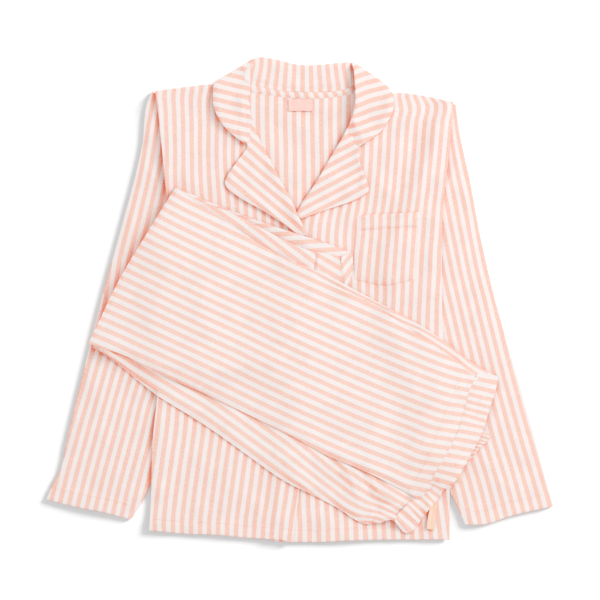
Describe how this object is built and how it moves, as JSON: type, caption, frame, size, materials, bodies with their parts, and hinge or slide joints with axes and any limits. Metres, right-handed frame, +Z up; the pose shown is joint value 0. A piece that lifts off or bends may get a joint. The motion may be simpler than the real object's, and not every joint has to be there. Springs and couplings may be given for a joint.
{
  "type": "pyjama set",
  "caption": "Women's pyjama set laid flat: long-sleeved notched-collar shirt in vertical stripes, with its drawstring trousers folded and laid across it.",
  "frame": {"origin": "centre of the set's bounding box, on the surface it lies on", "axes": "+Z up from the surface, +Y towards the collar, +X towards the wearer's left sleeve"},
  "size_m": [0.736, 0.704, 0.0192],
  "materials": {
    "striped_cotton": "matt brushed cotton, peach and white stripes",
    "label_satin": "soft satin",
    "cotton_tape": "matt",
    "button_resin": "polished"
  },
  "bodies": {
    "root": {"back": "striped_cotton", "front_right": "striped_cotton", "front_left": "striped_cotton", "sleeve_right": "striped_cotton", "sleeve_left": "striped_cotton", "lapel_right": "striped_cotton", "lapel_left": "striped_cotton", "collar": "striped_cotton", "neck_binding": "striped_cotton", "neck_label": "label_satin", "chest_pocket": "striped_cotton", "button_1": "button_resin", "button_2": "button_resin", "button_3": "button_resin", "button_4": "button_resin", "leg_upper": "striped_cotton", "leg_lower": "striped_cotton", "waistband_upper": "striped_cotton", "waistband_lower": "striped_cotton", "drawstring_long": "cotton_tape", "drawstring_short": "cotton_tape"}
  },
  "joints": []
}
